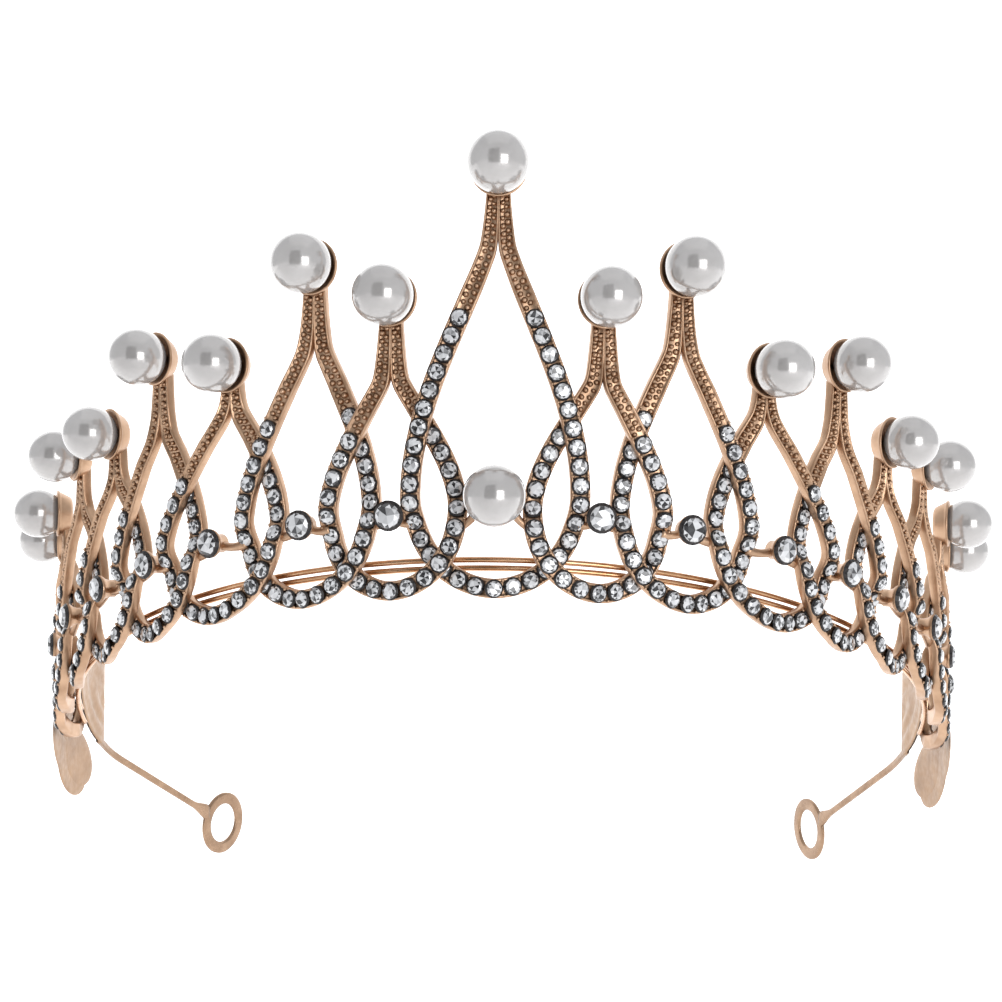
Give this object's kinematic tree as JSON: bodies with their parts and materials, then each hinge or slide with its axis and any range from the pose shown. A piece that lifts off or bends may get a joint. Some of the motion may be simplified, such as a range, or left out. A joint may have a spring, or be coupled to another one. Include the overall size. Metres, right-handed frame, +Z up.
{
  "type": "tiara crown",
  "caption": "Open rose-gold tiara of interlaced teardrop loops with pearl tips, crystal-set legs, a wire band behind and a ring at each end for hairpins.",
  "frame": {"origin": "centre of the head opening, where the plane of the crown's lower edge crosses the vertical axis of the curved openwork", "axes": "+Z up along the axis that the openwork curves round, -Y towards the front, +X to the right seen from the front"},
  "size_m": [0.1696, 0.1336, 0.1233],
  "materials": {
    "gold_casting": "rose-gold plated casting, satin sides and polished beaded faces",
    "gold_strip": "rose-gold plated wire and stamped strip, polished",
    "pearl": "imitation pearl, nacreous lacquer",
    "crystal": "foiled cut glass rhinestone"
  },
  "bodies": {
    "root": {"loop_centre": "gold_casting", "loop_left_1": "gold_casting", "loop_right_1": "gold_casting", "loop_left_2": "gold_casting", "loop_right_2": "gold_casting", "loop_left_3": "gold_casting", "loop_right_3": "gold_casting", "loop_left_4": "gold_casting", "loop_right_4": "gold_casting", "loop_left_5": "gold_casting", "loop_right_5": "gold_casting", "loop_left_6": "gold_casting", "loop_right_6": "gold_casting", "loop_left_7": "gold_casting", "loop_right_7": "gold_casting", "loop_left_8": "gold_casting", "loop_right_8": "gold_casting", "centre_pearl_seat": "gold_casting", "end_leaf_left": "gold_casting", "end_leaf_right": "gold_casting", "band_wire_upper": "gold_strip", "band_wire_lower": "gold_strip", "end_strap_left": "gold_strip", "end_strap_right": "gold_strip", "pearl_top": "pearl", "pearl_centre": "pearl", "pearl_left_1": "pearl", "pearl_right_1": "pearl", "pearl_left_2": "pearl", "pearl_right_2": "pearl", "pearl_left_3": "pearl", "pearl_right_3": "pearl", "pearl_left_4": "pearl", "pearl_right_4": "pearl", "pearl_left_5": "pearl", "pearl_right_5": "pearl", "pearl_left_6": "pearl", "pearl_right_6": "pearl", "pearl_left_7": "pearl", "pearl_right_7": "pearl", "pearl_left_8": "pearl", "pearl_right_8": "pearl", "stone_left_1": "crystal", "stone_right_1": "crystal", "stone_left_2": "crystal", "stone_right_2": "crystal", "stone_left_3": "crystal", "stone_right_3": "crystal", "stone_left_4": "crystal", "stone_right_4": "crystal", "stone_left_5": "crystal", "stone_right_5": "crystal", "stone_left_6": "crystal", "stone_right_6": "crystal", "stone_left_7": "crystal", "stone_right_7": "crystal", "stone_left_8": "crystal", "stone_right_8": "crystal"}
  },
  "joints": []
}
